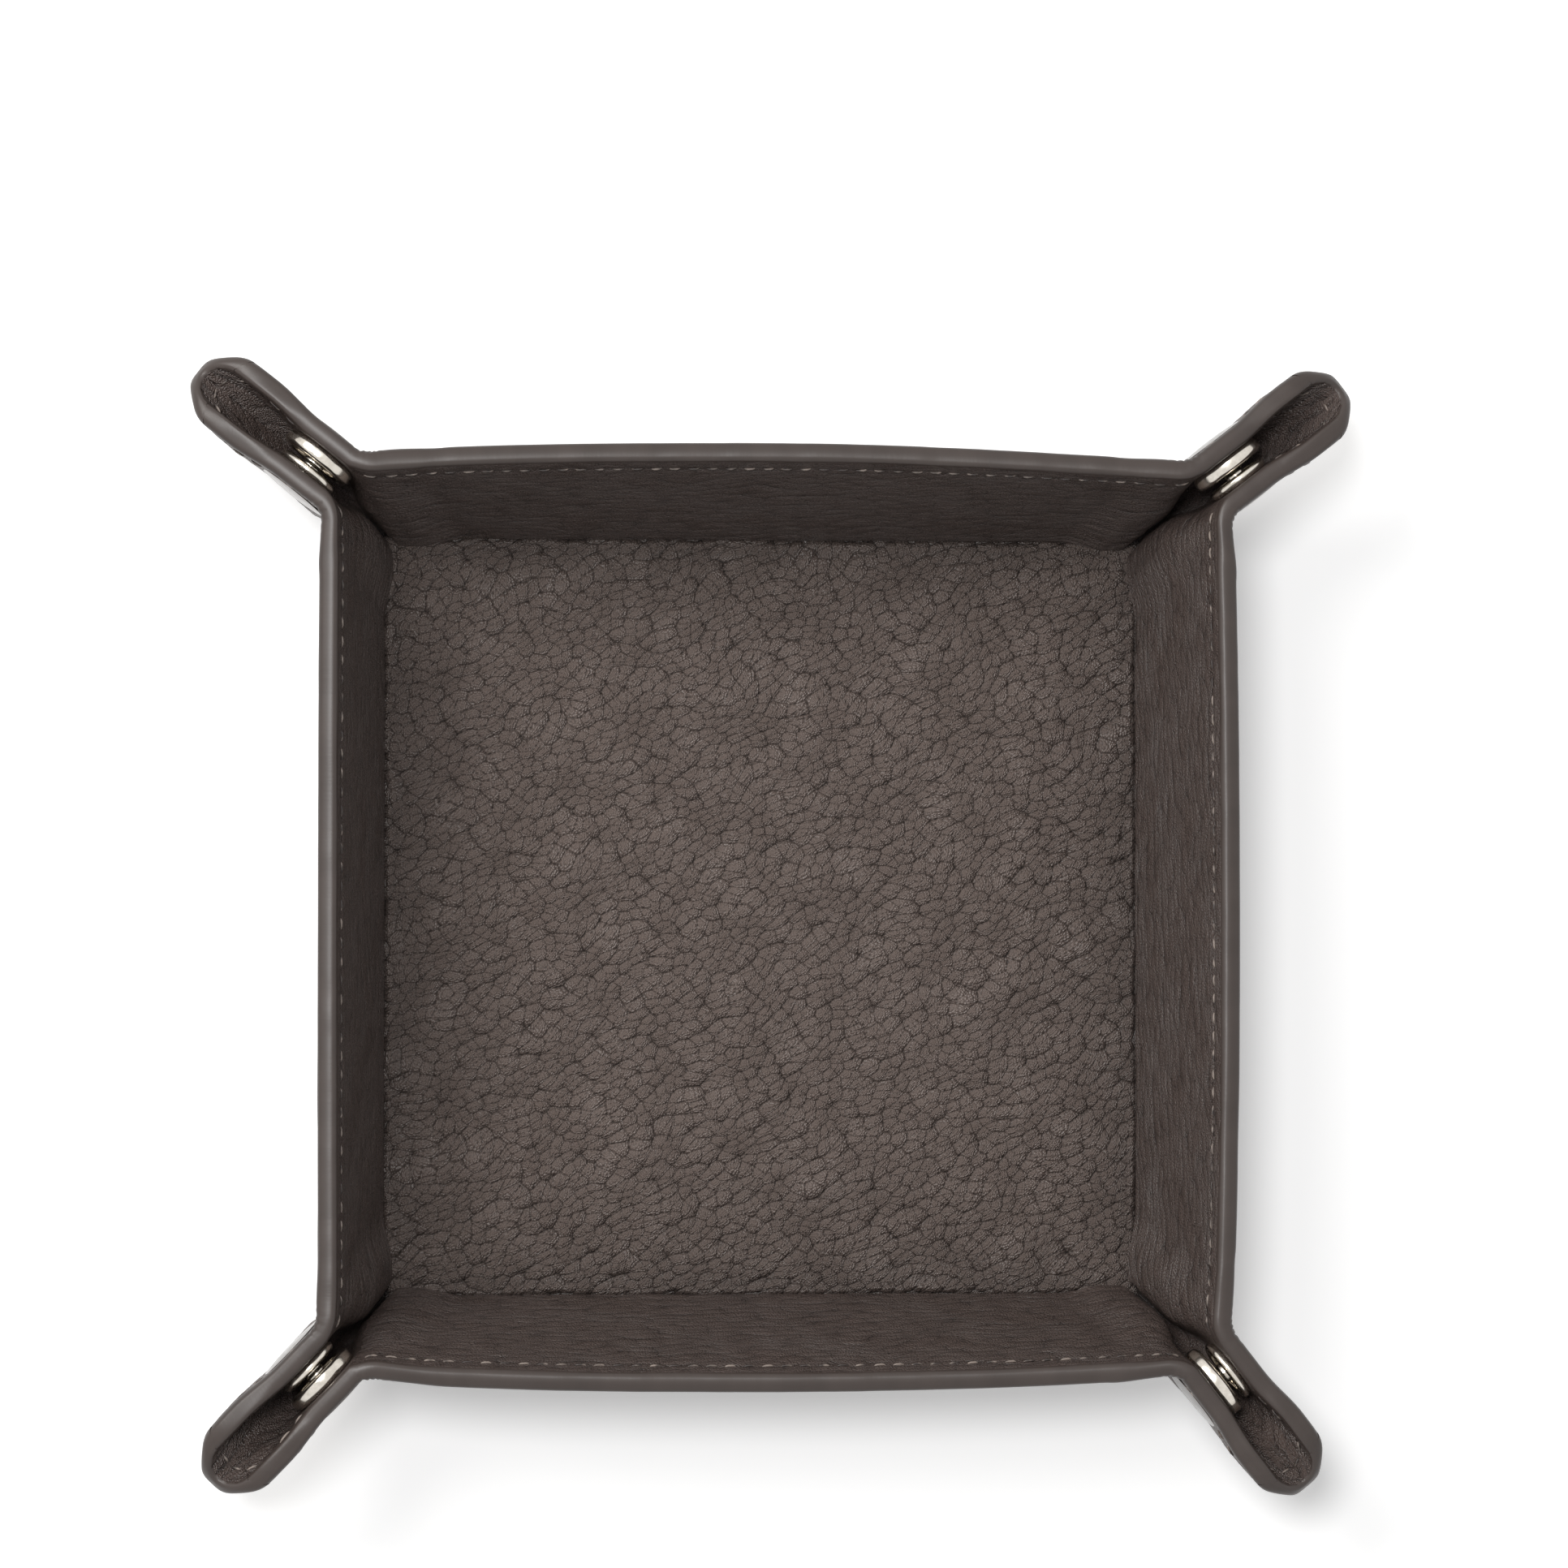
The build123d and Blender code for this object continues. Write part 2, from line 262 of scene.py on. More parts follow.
def eased(x, y, z, lean, push, pull):
    """Shape the ear: its tip drooping and narrowed, bulged past the snap, pinched at the base's
    corner, and the whole pushed, pulled long and leaning."""
    cosine, sine = math.cos(EAR_RISE), math.sin(EAR_RISE)
    out = (x + y) / ROOT2 - HALF_BASE * ROOT2
    off = (x - y) / ROOT2
    along = out * cosine + (z - HALF_SHEET) * sine - TIP_START
    above = (z - HALF_SHEET) * cosine - out * sine
    droop = np.clip(along / TIP_RADIUS, 0, TIP_TURN) * smooth(*DROOP_OFF, np.abs(off))
    past = along - droop * TIP_RADIUS
    height = TIP_RADIUS + above
    along = TIP_START + height * np.sin(droop) + past * np.cos(droop)
    above = height * np.cos(droop) - past * np.sin(droop) - TIP_RADIUS
    out = along * cosine - above * sine - TIP_DRAW * (droop / TIP_TURN) ** 2
    z = along * sine + above * cosine + HALF_SHEET
    bulge = EAR_BULGE * smooth(*BULGE_OUT, out)
    pinch = EAR_PINCH * smooth(*PINCH_OUT, out) * smooth(*PINCH_OFF, np.abs(off)) * smooth(*PINCH_UP, z)
    off = off + np.sign(off) * (bulge - pinch) * np.clip(2 * np.abs(off) / EAR_GAP, 0, 1)
    off = off * (1 - TIP_NARROWING * smooth(*NARROW_OUT, out) ** 1.6)
    off = off + push * smooth(*PUSH_OUT, out) * smooth(*PUSH_UP, z)
    out = out + pull * smooth(*PULL_OUT, out)
    angle = math.radians(lean) * smooth(*LEAN_OUT, out)
    reach = out - LEAN_CENTRE
    out = HALF_BASE * ROOT2 + LEAN_CENTRE + reach * np.cos(angle) - off * np.sin(angle)
    off = reach * np.sin(angle) + off * np.cos(angle)
    return (out + off) / ROOT2, (out - off) / ROOT2, z


def ear_shape(wall, end):
    """The lean, push and pull of the ear at a wall's end, as the back wall's right end sees them."""
    lengthways = wall in ("back", "front")
    lean, push, pull = EARS[(wall, end) if lengthways else (end, wall)]
    sign = 1 if lengthways else -1
    return sign * lean, sign * push, pull


def placed(x, y, z, side, turn):
    """Set folded points of the back wall's right end at their own wall and end, in metres."""
    angle = math.radians(turn)
    x = side * x
    points = np.stack((x * math.cos(angle) - y * math.sin(angle),
                       x * math.sin(angle) + y * math.cos(angle), z), axis=-1)
    return points * MM


def panel_fold(x, y, z, side, turn, bow, fade, shape):
    """Fold points of a flat wall and its flap into their places."""
    return placed(*eased(*raised(*turned(x, y, bowed(x, y, z, bow, fade))), *shape), side, turn)


def ear_fold(x, y, z, side, turn, shape):
    """Fold points of the flat strip beside the blank's diagonal into their places."""
    return placed(*eased(*raised(*turned(*rolled(x, y, z), soft=False)), *shape), side, turn)


def flap_spot(x, y, z, wall, turn, end, side):
    """Where a point of a wall's flap lies, from its place on the flat wall."""
    return placed(*eased(*raised(*turned(x, y, z, soft=False)), *ear_shape(wall, end)), side, turn)


# Materials
# A colour Mix node's own sockets: their names are shared with its number and vector sockets
MIX_A, MIX_B, MIX_COLOUR = 6, 7, 2


def linear(code):
    """A colour written as sRGB hex, in linear light."""
    parts = [int(code[i:i + 2], 16) / 255 for i in (1, 3, 5)]
    return (*(c / 12.92 if c <= 0.04045 else ((c + 0.055) / 1.055) ** 2.4 for c in parts), 1.0)


def add(tree, kind, links=(), values=(), **settings):
    """Add a node, set its properties and sockets, and link (socket, source, output) to it."""
    node = tree.nodes.new(kind)
    for name, value in settings.items():
        if hasattr(node, name):
            setattr(node, name, value)
        else:
            node.inputs[name.replace("_", " ")].default_value = value
    for socket, value in values:
        node.inputs[socket].default_value = value
    for socket, source, output in links:
        tree.links.new(source.outputs[output], node.inputs[socket])
    return node


def new_material(name):
    """A material with nothing but its Principled shader."""
    material = bpy.data.materials.new(name)
    material.use_nodes = True
    tree = material.node_tree
    tree.nodes.clear()
    output = add(tree, "ShaderNodeOutputMaterial")
    shader = add(tree, "ShaderNodeBsdfPrincipled")
    tree.links.new(shader.outputs["BSDF"], output.inputs["Surface"])
    return material, tree, shader


def summed(tree, start, layers):
    """A start value with each layer (node, output, weight) added to it by its weight."""
    total = None
    for layer, output, weight in layers:
        links = [(0, layer, output)] + ([(2, total, "Value")] if total else [])
        total = add(tree, "ShaderNodeMath", links, [(1, weight), (2, start)],
                    operation="MULTIPLY_ADD")
    return total


def leather_material(name, size, stretch, lean, relief, dark, face):
    """Drum-tumbled full-grain leather, finished satin: domed pebbles with dark creases between
    them, long folds across them and fine pores over them. Its colour darkens down the pebbles'
    sides, in the creases and along the folds, partly the grain's own tone and partly painted shade,
    and pale flecks on the pores' cells are painted glints, a painted highlight.

    The pebbles are size wide and stretch times as long, lie at the angle lean and stand relief
    high, all in millimetres. Dark and face are the colours of the creases and the pebbles' tops.
    """
    material, tree, shader = new_material(name)
    blank = add(tree, "ShaderNodeAttribute", attribute_name="blank")
    tone_variation = add(tree, "ShaderNodeAttribute", attribute_name="grain")
    drift = add(tree, "ShaderNodeTexNoise", [("Vector", blank, "Vector")], Scale=0.09, Detail=1.0)
    warped = add(tree, "ShaderNodeVectorMath", [(0, drift, "Color"), (2, blank, "Vector")],
                 [(1, (4.5, 4.5, 0.0))], operation="MULTIPLY_ADD")
    flow = add(tree, "ShaderNodeMapping", [("Vector", warped, "Vector")], vector_type="TEXTURE",
               Rotation=(0, 0, lean), Scale=(size * stretch, size, 1))
    pebble = add(tree, "ShaderNodeTexVoronoi", [("Vector", flow, "Vector")],
                 voronoi_dimensions="2D", Scale=1.0)
    dome = add(tree, "ShaderNodeMath", [(0, pebble, "Distance")], [(1, 1.9)], operation="POWER")
    edges = add(tree, "ShaderNodeTexVoronoi", [("Vector", flow, "Vector")],
                voronoi_dimensions="2D", feature="DISTANCE_TO_EDGE", Scale=1.0)
    crease = add(tree, "ShaderNodeMapRange", [("Value", edges, "Distance")], From_Max=0.06)
    stretched = add(tree, "ShaderNodeMapping", [("Vector", flow, "Vector")], vector_type="TEXTURE",
                    Scale=(3.0, 1.35, 1))
    ribs = add(tree, "ShaderNodeTexNoise", [("Vector", stretched, "Vector")], noise_dimensions="2D",
               Scale=1.0, Detail=0.0)
    rib = add(tree, "ShaderNodeMath", [(0, ribs, "Fac")], [(1, 0.5)], operation="SUBTRACT")
    rib_away = add(tree, "ShaderNodeMath", [(0, rib, "Value")], operation="ABSOLUTE")
    fold = add(tree, "ShaderNodeMapRange", [("Value", rib_away, "Value")], From_Max=0.04)
    # Pores of 0.24 by 0.38 mm, about twice their real size so that they show
    hatch = add(tree, "ShaderNodeMapping", [("Vector", warped, "Vector")], vector_type="TEXTURE",
                Rotation=(0, 0, lean + 0.35), Scale=(0.38, 0.24, 1))
    pores = add(tree, "ShaderNodeTexVoronoi", [("Vector", hatch, "Vector")],
                voronoi_dimensions="2D", Scale=1.0)
    height = summed(tree, 0.0, (
        (dome, "Value", -1.0), (crease, "Result", 0.08), (fold, "Result", 0.13),
        (pores, "Distance", -0.22 / relief)))
    # Tone: darker down the pebbles' sides, in the creases and along the folds, partly the grain's own
    # tone and partly painted shade; pale flecks on the pores' cells are painted highlights
    tone = summed(tree, 0.33 + 0.44 * relief, (
        (dome, "Value", -0.36), (crease, "Result", 0.30), (fold, "Result", 0.18),
        (pores, "Distance", -0.7 * relief)))
    # The tone is multiplied by the grain attribute: the grain's own tone with painted shade towards the
    # base's walls and creases, at the walls' feet, in the seams and down the ears' channels and
    # wrinkles
    tone_shift = add(tree, "ShaderNodeMath", [(0, tone, "Value"), (1, tone_variation, "Fac")], operation="MULTIPLY")
    colour = add(tree, "ShaderNodeMix", [(0, tone_shift, "Value")],
                 [(MIX_A, linear(dark)), (MIX_B, linear(face))], data_type="RGBA")
    tree.links.new(colour.outputs[MIX_COLOUR], shader.inputs["Base Color"])
    rough = add(tree, "ShaderNodeMapRange", [("Value", pores, "Distance")],
                From_Max=0.8, To_Min=0.33, To_Max=0.47)
    tree.links.new(rough.outputs["Result"], shader.inputs["Roughness"])
    bump = add(tree, "ShaderNodeBump", [("Height", height, "Value")], Strength=1.0,
               Distance=relief * MM)
    tree.links.new(bump.outputs["Normal"], shader.inputs["Normal"])
    shader.inputs["Specular IOR Level"].default_value = 0.5
    return material


def paint_material():
    """Edge paint, several sanded coats: a smooth satin film, painted paler along the rim's crown and
    inner side as a painted highlight.
    """
    material, tree, shader = new_material("edge_paint_satin")
    blank = add(tree, "ShaderNodeAttribute", attribute_name="blank")
    grain = add(tree, "ShaderNodeAttribute", attribute_name="grain")
    broad = add(tree, "ShaderNodeTexNoise", [("Vector", blank, "Vector")], Scale=0.2, Detail=3.0)
    fine = add(tree, "ShaderNodeTexNoise", [("Vector", blank, "Vector")], Scale=2.0, Detail=3.0)
    # The grain attribute paints the edge paler along its crown and inner side: a painted highlight
    tone = add(tree, "ShaderNodeMix", [(0, grain, "Fac")],
               [(MIX_A, linear("#332b28")), (MIX_B, linear("#463d39"))], data_type="RGBA")
    mottle = add(tree, "ShaderNodeMapRange", [("Value", broad, "Fac")], From_Min=0.35, From_Max=0.65)
    patch = add(tree, "ShaderNodeMix", [(0, mottle, "Result")],
                [(MIX_A, linear("#e9e8e7")), (MIX_B, linear("#ffffff"))], data_type="RGBA")
    colour = add(tree, "ShaderNodeMix", [(MIX_A, tone, MIX_COLOUR), (MIX_B, patch, MIX_COLOUR)],
                 [(0, 1.0)], data_type="RGBA", blend_type="MULTIPLY")
    tree.links.new(colour.outputs[MIX_COLOUR], shader.inputs["Base Color"])
    bump = add(tree, "ShaderNodeBump", [("Height", fine, "Fac")], Strength=0.25, Distance=0.05 * MM)
    tree.links.new(bump.outputs["Normal"], shader.inputs["Normal"])
    shader.inputs["Roughness"].default_value = 0.38
    shader.inputs["Specular IOR Level"].default_value = 0.45
    return material


def thread_material():
    """Waxed polyester thread, twisted: pale grey-brown, with a fine lay across each stitch."""
    material, tree, shader = new_material("waxed_polyester_thread")
    place = add(tree, "ShaderNodeTexCoord")
    lay = add(tree, "ShaderNodeTexNoise", [("Vector", place, "Object")], Scale=3.5 / MM, Detail=1.0)
    tone_shift = add(tree, "ShaderNodeTexNoise", [("Vector", place, "Object")], Scale=0.6 / MM, Detail=1.0)
    share = add(tree, "ShaderNodeMapRange", [("Value", tone_shift, "Fac")], From_Min=0.42, From_Max=0.62)
    tone = add(tree, "ShaderNodeMix", [(0, share, "Result")],
               [(MIX_A, linear("#332b28")), (MIX_B, linear("#8d8179"))], data_type="RGBA")
    tree.links.new(tone.outputs[MIX_COLOUR], shader.inputs["Base Color"])
    bump = add(tree, "ShaderNodeBump", [("Height", lay, "Fac")], Strength=0.4, Distance=0.05 * MM)
    tree.links.new(bump.outputs["Normal"], shader.inputs["Normal"])
    shader.inputs["Roughness"].default_value = 0.5
    return material


def metal_material(name, dark, light):
    """Nickel-plated brass, tumbled bright or blackened, with faint streaks where rubbing has worn it.
    """
    material, tree, shader = new_material(name)
    place = add(tree, "ShaderNodeTexCoord")
    tone_variation = add(tree, "ShaderNodeTexNoise", [("Vector", place, "Object")], Scale=0.9 / MM, Detail=3.0)
    share = add(tree, "ShaderNodeMapRange", [("Value", tone_variation, "Fac")], From_Min=0.3, From_Max=0.7)
    tone = add(tree, "ShaderNodeMix", [(0, share, "Result")],
               [(MIX_A, linear(dark)), (MIX_B, linear(light))], data_type="RGBA")
    tree.links.new(tone.outputs[MIX_COLOUR], shader.inputs["Base Color"])
    rough = add(tree, "ShaderNodeMapRange", [("Value", share, "Result")], To_Min=0.14, To_Max=0.24)
    tree.links.new(rough.outputs["Result"], shader.inputs["Roughness"])
    shader.inputs["Metallic"].default_value = 1.0
    return material


def board_material():
    """Bookbinder's fibreboard: dull grey-brown, flecked with fibre."""
    material, tree, shader = new_material("grey_fibreboard")
    place = add(tree, "ShaderNodeTexCoord")
    fibre = add(tree, "ShaderNodeTexNoise", [("Vector", place, "Object")], Scale=1.2 / MM, Detail=4.0)
    share = add(tree, "ShaderNodeMapRange", [("Value", fibre, "Fac")], From_Min=0.3, From_Max=0.7)
    tone = add(tree, "ShaderNodeMix", [(0, share, "Result")],
               [(MIX_A, linear("#6f665b")), (MIX_B, linear("#92887b"))], data_type="RGBA")
    tree.links.new(tone.outputs[MIX_COLOUR], shader.inputs["Base Color"])
    bump = add(tree, "ShaderNodeBump", [("Height", fibre, "Fac")], Strength=0.3, Distance=0.05 * MM)
    tree.links.new(bump.outputs["Normal"], shader.inputs["Normal"])
    shader.inputs["Roughness"].default_value = 0.9
    return material


pebbled = leather_material("tumbled_pebble_leather", 1.5, 1.5, 0.56, 1.0, "#1a1513", "#6f625c")
leather = leather_material("tumbled_smooth_leather", 1.2, 3.6, 0.10, 0.35, "#1d1715", "#5c4f4a")
paint = paint_material()
thread = thread_material()
nickel = metal_material("polished_nickel_plate", "#cfc8bd", "#e2dcd2")
black_nickel = metal_material("black_nickel_plate", "#4a4440", "#5b544f")
fibreboard = board_material()


# Mesh tools
# In metres: vertices nearer than this are one, and those nearer than this to a cut lie on it
SAME_SPOT = 1e-8
ON_CUT = 1e-7


def finished(name, work, materials):
    """Make a bmesh a shown object, its faces turned outwards."""
    bmesh.ops.recalc_face_normals(work, faces=work.faces)
    mesh = bpy.data.meshes.new(name)
    work.to_mesh(mesh)
    work.free()
    for material in materials:
        mesh.materials.append(material)
    piece = bpy.data.objects.new(name, mesh)
    bpy.context.scene.collection.objects.link(piece)
    return piece


def wrapped(name, rows, columns, place, skin, paint_rows=None, clip=()):
    """A closed sheet: a grid whose rows wrap round its section, with its two ends filled.

    place gives, for the row and column of every vertex, its place in metres, its place on the
    blank and its grain value, which also holds painted shade and the paint's painted highlight.
    clip lists planes, each a point and the side that is cut away.
    """
    work = bmesh.new()
    bmesh.ops.create_grid(work, x_segments=rows, y_segments=columns, size=1)
    spots = np.array([vert.co for vert in work.verts])
    row = np.rint((spots[:, 0] + 1) / 2 * rows).astype(int)
    column = np.rint((spots[:, 1] + 1) / 2 * columns).astype(int)
    points, blank, grain = place(row % rows, column / columns)
    blank_layer = work.verts.layers.float_vector.new("blank")
    # The grain attribute holds the grain's tone with painted shade, and on the painted edge a painted
    # highlight
    tone_and_painted_light_layer = work.verts.layers.float.new("grain")
    row_layer = work.verts.layers.int.new("row")
    for vert, point, spot, value, index in zip(work.verts, points, blank, grain, row):
        vert.co = point
        vert[blank_layer] = spot
        vert[tone_and_painted_light_layer] = value
        vert[row_layer] = index
    for face in work.faces:
        face.smooth = True
        if paint_rows:
            low = min(vert[row_layer] for vert in face.verts)
            face.material_index = int(paint_rows[0] <= low < paint_rows[1])
    bmesh.ops.remove_doubles(work, verts=work.verts, dist=SAME_SPOT)
    for centre, normal in clip:
        bmesh.ops.bisect_plane(
            work, geom=work.verts[:] + work.edges[:] + work.faces[:], dist=ON_CUT,
            plane_co=centre, plane_no=normal, clear_outer=True)
    rim = [edge for edge in work.edges if edge.is_boundary]
    for edge in rim:
        edge.smooth = False
    for face in bmesh.ops.holes_fill(work, edges=rim, sides=0)["faces"]:
        face.smooth = False
        face.material_index = 0
    work.verts.layers.int.remove(row_layer)
    return finished(name, work, [skin, paint])


# The sheet's section
EDGE_ROUND = 0.95
EDGE_CROWN = 0.12
FACE_ROWS = 70
EDGE_STEPS = 5
FOOT_STEPS = 6


def section():
    """The sheet's section, from the inner face over the cut edge to the outer face.

    Rows of (share of the height from the foot, distance below the cut edge, height over the
    middle); the share counts on the faces and the distance round the edge.
    """
    rows = [(share, EDGE_ROUND, HALF_SHEET) for share in np.linspace(0, 1, FACE_ROWS + 1)]
    for step in range(1, EDGE_STEPS + 1):
        angle = math.pi / 2 * step / EDGE_STEPS
        rows.append((1, EDGE_ROUND * (1 - math.sin(angle)),
                     HALF_SHEET - EDGE_ROUND * (1 - math.cos(angle))))
    rows.append((1, -EDGE_CROWN, 0.0))
    return rows + [(share, inset, -height) for share, inset, height in reversed(rows[:-1])]


SECTION = np.array(section())
PAINT_ROWS = (FACE_ROWS, FACE_ROWS + 2 * EDGE_STEPS + 2)

# The seam's valley: its depth, the holes' further depth and its half width
SEAM_DEPTH = 0.06
HOLE_DEPTH = 0.10
SEAM_HALF_WIDTH = 0.5
# Between these distances from a snap's middle the leather rises from where it is pressed flat
SNAP_PRESS = (5.6, 8.2)
# How sharply a wall's end turns from its crease into the ear's bend
END_SHARPNESS = 2.5
# The grain's depth, the depth and size of the broad lumps under it, and how far each wall's pattern
# and the outer leather's lie from the next
GRAIN_DEPTH = 0.12
LUMP_DEPTH, LUMP_SIZE = 0.10, 11.0
WALL_SHIFT = 37.0
OUTER_SHIFT = 61.0
# Nicks at the ear's neck: their half width over the crease and their depth in the face and the edge
NECK_HALF_WIDTH = 2.6
NICK_DEPTH = 0.32
NICK_EDGE_DEPTH = 0.30
# Wrinkles at the ear's tip: their width, and their depth inside and outside
WRINKLE_WIDTH = 0.28
WRINKLE_DEPTH, WRINKLE_DEPTH_OUTSIDE = 0.42, 0.10
# The paint this far over the sheet's middle, on the inner side, is painted pale: a painted highlight
HIGHLIGHT_OVER = 0.9


def seam_dent(below, along):
    """The seam's shallow valley, with a dimple where each stitch goes in."""
    hole = 0.5 + 0.5 * np.cos(2 * math.pi * along / STITCH_PITCH)
    return (SEAM_DEPTH + HOLE_DEPTH * hole) * np.exp(-((below - SEAM_INSET) / SEAM_HALF_WIDTH) ** 2)


def snap_ease(x, y):
    """0 under a snap, where the leather is pressed flat, and 1 away from it."""
    return smooth(*SNAP_PRESS, np.hypot(x - SNAP[0], y - SNAP[1]))


def panel_end(y):
    """Half width of a wall with its flap: to the ear's bend, and below it to the crease."""
    bend = BEND_LINE + y
    crease = CREASE_X + CREASE_SLOPE * y
    return np.logaddexp(bend * END_SHARPNESS, crease * END_SHARPNESS) / END_SHARPNESS


def cut_edge(x):
    """Height of the cut edge over a wall, rounded at the blank's corner."""
    over = np.clip(x - ARC_CENTRE, 0, CORNER_RADIUS)
    return WALL_HEIGHT - CORNER_RADIUS + np.sqrt(CORNER_RADIUS ** 2 - over ** 2)


def beside_diagonal(along, away):
    """A place on the flat wall, from its distances along the blank's diagonal and away from it."""
    return HALF_BASE + (along - away) / ROOT2, (along + away) / ROOT2


def pattern_spot(x, y, shift, side, turn):
    """Where a place on a wall lies in the leather's pattern, which differs from wall to wall."""
    offset = WALL_SHIFT * turn / 90
    return np.stack((side * x + offset + shift, y + offset, np.zeros_like(x)), axis=-1)


def edge_waver(bx, by):
    """How far the painted edge wavers in and out."""
    return 0.05 * wave(bx, by, 3.1) + 0.06 * wave(bx + 20, by, 9)


def neck_nicks(out, y, bx, by):
    """Nicks where the outer leather gathers at the ear's neck, 0 to 1."""
    nick = (0.5 + 0.5 * np.sin(out * 4.6 + 3 * wave(bx, by, 5))) ** 2
    return nick * np.exp(-(out / NECK_HALF_WIDTH) ** 2) * smooth(6, 20, y)


def tip_wrinkles(past, below, bx, by):
    """Wrinkles that fan out below the ear's tip, 0 to 1."""
    fan = np.arctan2(UNROLLED - past, below + 6)
    ridge = np.abs(np.sin(fan * 15 + 2.4 * wave(bx, by, 6) + 0.5 * wave(bx, by, 1.7)))
    return np.exp(-(ridge / WRINKLE_WIDTH) ** 2) * smooth(15, 4, below) * smooth(0.3, 1.6, below)


def tone_and_painted_light(face, shade, inset, height):
    """The leather faces' grain tone with its painted shade, and on the cut edge a painted
    highlight, paler along the crown and over the inner side.
    """
    painted_highlight = np.where(height > HIGHLIGHT_OVER, 1.0, np.clip(1 - np.abs(inset), 0, 1))
    return np.where(face != 0, shade, painted_highlight)


# The walls' leather
PANEL_COLUMNS = 168
# The cut edge's height and the wall's half width settle each other in this many passes
TOP_PASSES = 3


def panel(wall, turn, end, side, bow, fade):
    """Half of a wall with its flap, as one sheet that bends where they meet."""
    foot = np.linspace(0, math.pi, FOOT_STEPS + 2)[1:-1]
    shape = ear_shape(wall, end)

    def place(row, share):
        on_foot = row >= len(SECTION)
        part, inset, height = SECTION[np.minimum(row, len(SECTION) - 1)].T
        top = np.full(len(row), WALL_HEIGHT)
        for _ in range(TOP_PASSES):
            top = cut_edge(share * panel_end(top))
        angle = foot[np.clip(row - len(SECTION), 0, FOOT_STEPS - 1)]
        y = np.where(part < 1, part * (top - EDGE_ROUND), top - inset)
        y = np.where(on_foot, -HALF_SHEET * np.sin(angle), y)
        height = np.where(on_foot, -HALF_SHEET * np.cos(angle), height)
        x = share * panel_end(np.clip(y, 0, None))
        face = np.sign(height) * ((inset >= EDGE_ROUND) & ~on_foot)
        below = top - y
        out = (x - CREASE_X) * CREASE_OUT[0] + y * CREASE_OUT[1]
        bx, by = on_blank(x, y, side, turn)
        shift = np.where(face > 0, 0.0, OUTER_SHIFT)
        spot = pattern_spot(x, y, shift, side, turn)
        ear = smooth(-1, 5, out)
        grain = (pebbles(spot[:, 0], spot[:, 1], *WALL_GRAIN) * (1 - ear)
                 + pebbles(bx + shift, by, *EAR_GRAIN) * ear)
        away = snap_ease(x, y)
        dent = seam_dent(below, x)
        lift = GRAIN_DEPTH * (grain - 1) * smooth(0.2, 3.0, y) * smooth(0, 1, below - EDGE_ROUND)
        lift += LUMP_DEPTH * wave(bx + 5, by + shift, LUMP_SIZE) * smooth(1, 8, y) - dent
        nicks = neck_nicks(out, y, bx, by) * (height < 0)
        z = height + np.where(face == 0, NICK_EDGE_DEPTH * nicks,
                              face * (lift * away - NICK_DEPTH * nicks))
        rim = np.where(~on_foot & (face == 0), edge_waver(bx, by), 0)
        # The grain's own tone, with painted shade at the wall's foot by the base's crease and in the
        # seam's valley
        shade = (0.92 + 0.08 * grain) * smooth(-1.5, 1.2, y) * (1 - 1.2 * dent)
        points = panel_fold(x, y + rim, z, side, turn, bow, fade, shape)
        return points, spot, tone_and_painted_light(face, shade, inset, height)

    piece = wrapped(f"{wall}_wall_{end}_leather", len(SECTION) + FOOT_STEPS, PANEL_COLUMNS, place,
                    leather, PAINT_ROWS)
    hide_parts(f"{wall}_wall_outer_leather", f"{wall}_wall_lining",
                f"{wall}_wall_{end}_flap_outer_leather", f"{wall}_wall_{end}_flap_lining")
    flap_blend(piece)


def direction(x, y, z, side, turn):
    """A unit direction of the raised wall, from one on the flat wall."""
    foot, tip = (placed(*raised(*spot), side, turn) for spot in ((0.0, 0.0, 0.0), (x, y, z)))
    return Vector(tip - foot).normalized()


def flap_blend(piece):
    """Bake a piece's placement into its mesh."""
    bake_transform(piece)


# The ears' round bottoms
EAR_COLUMNS = 18
# The sheet starts this far under the base's corner and is cut off at the crease and over the floor
EAR_FOOT = -4.0
EAR_CUT = 0.1


